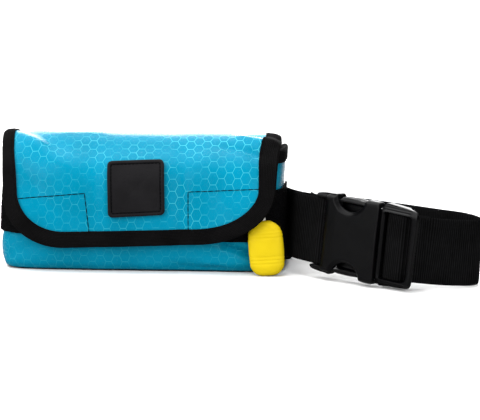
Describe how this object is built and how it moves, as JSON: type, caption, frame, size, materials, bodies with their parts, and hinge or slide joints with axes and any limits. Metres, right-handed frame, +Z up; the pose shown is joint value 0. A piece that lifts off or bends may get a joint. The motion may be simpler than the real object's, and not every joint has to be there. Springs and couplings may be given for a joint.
{
  "type": "inflatable belt pack",
  "caption": "Soft waist pouch with a rounded front flap, square badge and yellow pull toggle, on a webbing belt closed by a side-release buckle.",
  "frame": {"origin": "centre of the pouch's flat base, on the surface it stands on", "axes": "+X along the pouch towards the buckle, +Y from the flap's front to the back, +Z up"},
  "size_m": [0.2817, 0.2314, 0.0774],
  "materials": {
    "ripstop": "coated hexagon ripstop, slightly glossy",
    "tape": "matt woven tape",
    "fastener": "fuzzy loop fastener",
    "sleeve_cloth": "plain black cloth",
    "webbing": "ribbed black webbing",
    "buckle_plastic": "satin moulded plastic",
    "badge_rubber": "matt moulded rubber",
    "toggle_rubber": "soft yellow moulding",
    "cord": "white braid"
  },
  "bodies": {
    "root": {"pouch_body": "ripstop", "mouth_binding": "tape", "loop_strip": "fastener", "flap": "ripstop", "flap_binding": "tape", "badge": "badge_rubber", "belt_sleeve": "sleeve_cloth", "belt": "webbing", "buckle_socket": "buckle_plastic", "buckle_plug": "buckle_plastic", "pull_toggle": "toggle_rubber", "pull_cord": "cord"}
  },
  "joints": []
}
